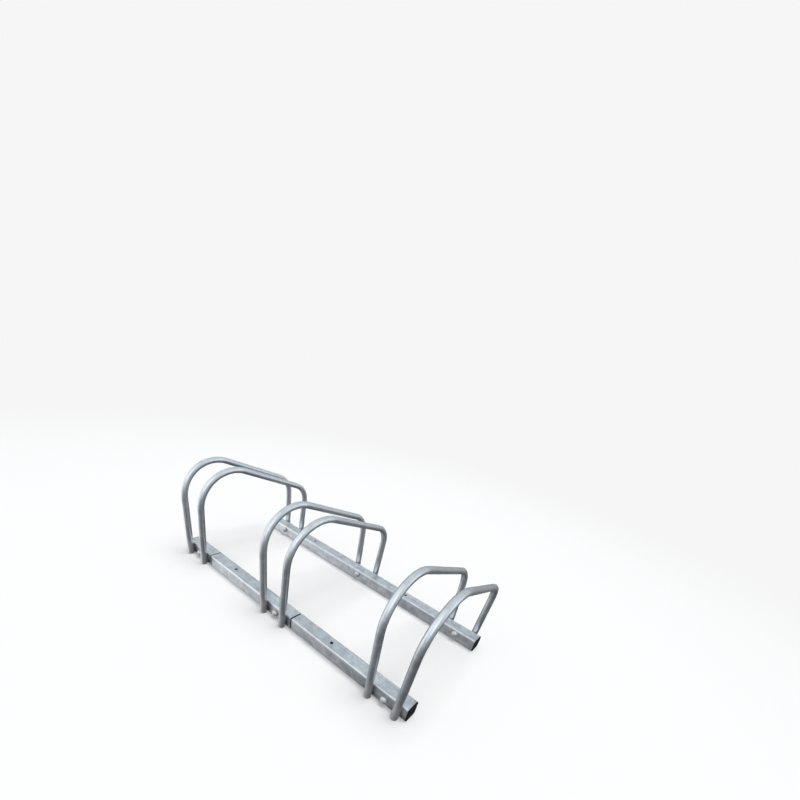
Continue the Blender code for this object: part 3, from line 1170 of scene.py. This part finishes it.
@dataclass
class Welds:
    """Two upright fillet welds at each foot, in the grooves between the tube and the rail's face."""

    hoop: Hoop
    bead: float = 0.0021
    bury: float = 0.0004
    low: float = 0.0035
    high: float = 0.0262
    ripple_pitch: float = 0.0017
    ripple_height: float = 0.16
    ripple_bow: float = 0.28
    least_size: float = 0.88
    taper: float = 0.07
    tip_size: float = 0.3
    unevenness_scale: float = 420.0
    step: float = 0.00026
    sides: int = 14
    seed: float = 4.0
    sharp_angle: float = math.radians(60)

    def recipe(self) -> GeometryRecipe:
        """Build the tree that turns each straight edge into a rippled weld bead.

        Returns:
            The recipe. The ripples are bowed, as where a pool of metal froze step by step.
        """
        labels = ("Bead radius", "Step", "Ripple pitch", "Ripple height", "Ripple bow", "Seed")
        made = GeometryRecipe("weld beads", {**dict.fromkeys(labels, "Float"), "Sides": "Int"})
        given = made.given
        add = partial(add_node, made.tree)
        line = add("GeometryNodeMeshToCurve", {"Mesh": given["Geometry"]})
        fine = add("GeometryNodeResampleCurve", {"Curve": line, "Length": given["Step"]}, mode="LENGTH")
        spline = add("GeometryNodeSplineParameter").outputs
        here = add("GeometryNodeInputPosition").outputs["Position"]
        kept = add("GeometryNodeCaptureAttribute", {"Geometry": fine})
        values = (
            ("Along", "FLOAT", spline["Length"]),
            ("Share", "FLOAT", spline["Factor"]),
            ("Centre", "VECTOR", here),
        )
        for label, kind, source in values:
            kept.capture_items.new(kind, label)
            made.tree.links.new(source, kept.inputs[label])
        along, share, centre = (kept.outputs[label] for label in ("Along", "Share", "Centre"))
        size = {"Resolution": given["Sides"], "Radius": given["Bead radius"]}
        ring = add("GeometryNodeCurvePrimitiveCircle", size)
        swept = add("GeometryNodeCurveToMesh", {"Curve": kept, "Profile Curve": ring, "Fill Caps": True})
        offset = add("ShaderNodeVectorMath", {0: here, 1: centre}, operation="SUBTRACT")
        outward = add("ShaderNodeSeparateXYZ", {"Vector": offset}).outputs["Y"]
        off_wall = add("ShaderNodeMath", {0: outward}, operation="ABSOLUTE")
        bowed = add("ShaderNodeMath", {0: off_wall, 1: given["Bead radius"]}, operation="DIVIDE")
        unevenness = add(
            "ShaderNodeTexNoise",
            {"Vector": centre, "W": given["Seed"], "Scale": self.unevenness_scale, "Detail": 1.0},
            noise_dimensions="4D",
        )
        beats = add("ShaderNodeMath", {0: along, 1: given["Ripple pitch"]}, operation="DIVIDE")
        bow = add("ShaderNodeMath", {0: bowed, 1: given["Ripple bow"], 2: beats}, operation="MULTIPLY_ADD")
        phase = add("ShaderNodeMath", {0: bow, 1: unevenness}, operation="ADD")
        part = add("ShaderNodeMath", {0: phase}, operation="FRACT")
        rest = add("ShaderNodeMath", {0: 1.0, 1: part}, operation="SUBTRACT")
        # A part times the rest is a quarter at most, so four times it makes a crest of one
        crest = add("ShaderNodeMath", {0: part, 1: rest}, operation="MULTIPLY")
        lifted = add("ShaderNodeMath", {0: crest, 1: given["Ripple height"]}, operation="MULTIPLY")
        swell = add("ShaderNodeMath", {0: lifted, 1: 4.0, 2: self.least_size}, operation="MULTIPLY_ADD")
        starts, ends = (
            add("ShaderNodeMapRange", {"Value": share, **taper}, interpolation_type="SMOOTHSTEP")
            for taper in (
                {"From Max": self.taper, "To Min": self.tip_size},
                {"From Min": 1 - self.taper, "To Min": 1.0, "To Max": self.tip_size},
            )
        )
        tapered = add("ShaderNodeMath", {0: starts, 1: ends}, operation="MULTIPLY")
        swollen = add("ShaderNodeMath", {0: tapered, 1: swell}, operation="MULTIPLY")
        scaled = add("ShaderNodeVectorMath", {0: offset, "Scale": swollen}, operation="SCALE")
        placed = add("ShaderNodeVectorMath", {0: scaled, 1: centre}, operation="ADD")
        made.finish(add("GeometryNodeSetPosition", {"Geometry": swept, "Position": placed}))
        return made

    def build(self, material: Material) -> None:
        """Build every weld bead as one piece and hand it over.

        Args:
            material: The beads' finish.
        """
        tube = self.hoop.tube / 2
        depth = self.bead / 2 - self.bury
        low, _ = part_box("front_rail_1")
        _, hoop_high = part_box("hoop_1_left")
        axis = hoop_high.y - tube - abs(low.y)
        beside = math.sqrt((tube + depth) ** 2 - (axis - depth) ** 2)
        shape = bmesh.new()
        for rail in Rail:
            face = rail.outward * (abs(low.y) + depth)
            for number in PAIR_NUMBERS:
                middle = box_centre(f"front_bolt_{number}").x
                for side in Side:
                    foot = middle + side.sign * self.hoop.spacing / 2
                    for flank in Side:
                        ends = []
                        for height in (self.low, self.high):
                            x = foot + side.sign * height * math.tan(self.hoop.lean) + flank.sign * beside
                            ends.append(shape.verts.new((x, face, height)))
                        shape.edges.new(ends)
        piece = object_from("weld_beads", shape)
        self.recipe().put_on(
            piece,
            {
                "Bead radius": self.bead / 2,
                "Sides": self.sides,
                "Step": self.step,
                "Ripple pitch": self.ripple_pitch,
                "Ripple height": self.ripple_height,
                "Ripple bow": self.ripple_bow,
                "Seed": self.seed,
                "Material": material,
            },
        )
        set_plain(piece)
        shade(piece.data, self.sharp_angle)
        hand_over(piece)


@dataclass(frozen=True)
class Glow:
    """A broad soft light round the rack, brightest in one direction."""

    towards: tuple[float, float, float]
    sharpness: float
    gain: float


@dataclass
class Studio:
    """A pale sweep of paper under soft light from all round, with one overhead lamp for the shadows."""

    paper: str = "#f6f6f6"
    paper_albedo: float = 0.25
    paper_roughness: float = 0.9
    paper_glow: float = 0.2
    floor_radius: float = 9.0
    floor_sides: int = 96
    dome_segments: tuple[int, int] = (48, 24)
    fade_start: float = 0.7
    fade_end: float = 2.2
    surroundings: tuple[tuple[float, str], ...] = (
        (-1, "#303030"),
        (-0.65, "#555555"),
        (-0.4, "#797979"),
        (-0.2, "#848484"),
        (-0.05, "#a4a6a7"),
        (0.15, "#bfc6c9"),
        (0.4, "#d3dade"),
        (0.7, "#e0e8eb"),
        (1, "#f1f9fc"),
    )
    glows: tuple[Glow, ...] = (
        Glow((0.36, -0.71, 0.61), 14.7, 1.6),
        Glow((0.84, 0.47, 0.27), 9.7, 1.0),
        Glow((-0.60, -0.33, -0.72), 1.6, 0.24),
        Glow((-0.84, -0.52, 0.14), 8.0, 0.9),
        Glow((-0.86, -0.32, -0.40), 11.0, 0.62),
        Glow((-0.42, -0.73, 0.54), 6.0, 0.4),
        Glow((-0.36, 0.78, 0.51), 6.0, 0.1),
    )
    lamp_azimuth: float = math.radians(60)
    lamp_height: float = math.radians(78)
    lamp_spread: float = math.radians(34)
    lamp_strength: float = 6.8

    def world(self) -> None:
        """Light the rack from all round: bright above, dim below, with a few broad glows."""
        world = bpy.data.worlds.new("studio surroundings")
        world.use_nodes = True
        bpy.context.scene.world = world
        world.node_tree.nodes.clear()
        add = partial(add_node, world.node_tree)
        place = add("ShaderNodeTexCoord").outputs["Generated"]
        rise = add("ShaderNodeSeparateXYZ", {"Vector": place}).outputs["Z"]
        height = add("ShaderNodeMapRange", {"Value": rise, "From Min": -1.0})
        tone = add("ShaderNodeValToRGB", {"Fac": height})
        stops = tone.color_ramp.elements
        while len(stops) < len(self.surroundings):
            stops.new(1.0)
        for stop, (level, colour) in zip(stops, self.surroundings):
            stop.position, stop.color = (level + 1) / 2, linear(colour)
        light = add("ShaderNodeBackground", {"Color": tone})
        for glow in self.glows:
            facing = add("ShaderNodeVectorMath", {0: place, 1: glow.towards}, operation="DOT_PRODUCT")
            power = {0: facing, 1: glow.sharpness, 2: math.log(glow.gain) - glow.sharpness}
            exponent = add("ShaderNodeMath", power, operation="MULTIPLY_ADD")
            amount = add("ShaderNodeMath", {0: exponent}, operation="EXPONENT")
            lobe = add("ShaderNodeBackground", {"Color": linear("#ffffff"), "Strength": amount})
            light = add("ShaderNodeAddShader", {0: light, 1: lobe})
        add("ShaderNodeOutputWorld", {"Surface": light})

    def overhead_lamp(self) -> None:
        """Hang the lamp for the soft shadows at the rack's feet. The plated metal does not mirror it."""
        lamp = bpy.data.lights.new("overhead lamp", "SUN")
        lamp.energy = self.lamp_strength
        lamp.angle = self.lamp_spread
        made = bpy.data.objects.new("overhead lamp", lamp)
        made.location = polar(math.cos(self.lamp_height), self.lamp_azimuth, math.sin(self.lamp_height))
        made.rotation_euler = (-made.location).to_track_quat("-Z", "Y").to_euler()
        made.visible_glossy = False
        bpy.context.scene.collection.objects.link(made)

    def backdrop(self) -> None:
        """Put up a dome of evenly lit paper that only the camera sees."""
        made, tree = new_material("evenly lit backdrop paper")
        glow = add_node(tree, "ShaderNodeEmission", {"Color": linear(self.paper)})
        add_node(tree, "ShaderNodeOutputMaterial", {"Surface": glow})
        shape = bmesh.new()
        around, upward = self.dome_segments
        bmesh.ops.create_uvsphere(shape, u_segments=around, v_segments=upward, radius=self.floor_radius)
        bmesh.ops.reverse_faces(shape, faces=shape.faces)
        dome = object_from("studio_backdrop", shape)
        dome.data.materials.append(made)
        dome.data.shade_smooth()
        self.hide_from_light(dome)

    def floor(self) -> None:
        """Lay the paper floor. It takes soft shadows and fades evenly into the backdrop."""
        made, tree = new_material("matt floor paper")
        add = partial(add_node, tree)
        place = add("ShaderNodeTexCoord").outputs["Object"]
        away = add("ShaderNodeVectorMath", {0: place}, operation="LENGTH")
        fading = {"Value": away, "From Min": self.fade_start, "From Max": self.fade_end}
        fade = add("ShaderNodeMapRange", fading, interpolation_type="SMOOTHSTEP")
        paper = add(
            "ShaderNodeBsdfPrincipled",
            {
                "Base Color": (self.paper_albedo, self.paper_albedo, self.paper_albedo, 1.0),
                "Roughness": self.paper_roughness,
                "Specular IOR Level": 0.0,
                "Emission Color": linear(self.paper),
                "Emission Strength": self.paper_glow,
            },
        )
        glow = add("ShaderNodeEmission", {"Color": linear(self.paper)})
        mixed = add("ShaderNodeMixShader", {0: fade, 1: paper, 2: glow})
        add("ShaderNodeOutputMaterial", {"Surface": mixed})
        shape = bmesh.new()
        bmesh.ops.create_circle(shape, cap_ends=True, segments=self.floor_sides, radius=self.floor_radius)
        ground = object_from("studio_floor", shape)
        ground.data.materials.append(made)
        self.hide_from_light(ground)

    @staticmethod
    def hide_from_light(paper: Object) -> None:
        """Let only the camera see a part of the stage, so the metal mirrors the dimmer surroundings."""
        paper.visible_diffuse = paper.visible_glossy = paper.visible_shadow = False

    def build(self) -> None:
        """Set up the whole studio."""
        self.world()
        self.backdrop()
        self.floor()
        self.overhead_lamp()


@dataclass
class PhotographCamera:
    """The photograph's viewpoint: high, near and to the right of the front, with a wide lens."""

    place: tuple[float, float, float] = (0.49532, -0.54849, 0.52076)
    turn: tuple[float, float, float] = (1.002032, -0.191621, 0.683017)
    lens_mm: float = 15.7377
    sensor_mm: float = 36.0
    shift: tuple[float, float] = (0.027338, 0.229367)
    nearest: float = 0.01
    farthest: float = 100.0

    def build(self) -> None:
        """Set up the camera."""
        data = bpy.data.cameras.new("photograph camera")
        data.lens, data.sensor_width = self.lens_mm, self.sensor_mm
        data.shift_x, data.shift_y = self.shift
        data.clip_start, data.clip_end = self.nearest, self.farthest
        camera = bpy.data.objects.new("photograph_camera", data)
        camera.location, camera.rotation_euler = self.place, self.turn
        bpy.context.scene.collection.objects.link(camera)
        bpy.context.scene.camera = camera


def main() -> None:
    """Build the rack's looks and the studio round it."""
    logging.basicConfig(level=logging.INFO, format="%(name)s: %(message)s")
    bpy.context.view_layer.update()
    bpy.context.scene.view_settings.view_transform = "Standard"
    PhotographCamera().build()
    Studio().build()
    finishes = Finishes()
    hoop = Hoop()
    hoop_recipe = hoop.recipe()
    for number in PAIR_NUMBERS:
        for side in Side:
            hoop.build(hoop_recipe, number, side, finishes.hoop)
    Rails().build(finishes)
    plug = EndPlug()
    for rail in Rail:
        for side in Side:
            plug.build(rail, side, finishes.plug)
    Fasteners().build(finishes)
    Welds(hoop).build(finishes.weld)


if __name__ == "__main__":
    main()
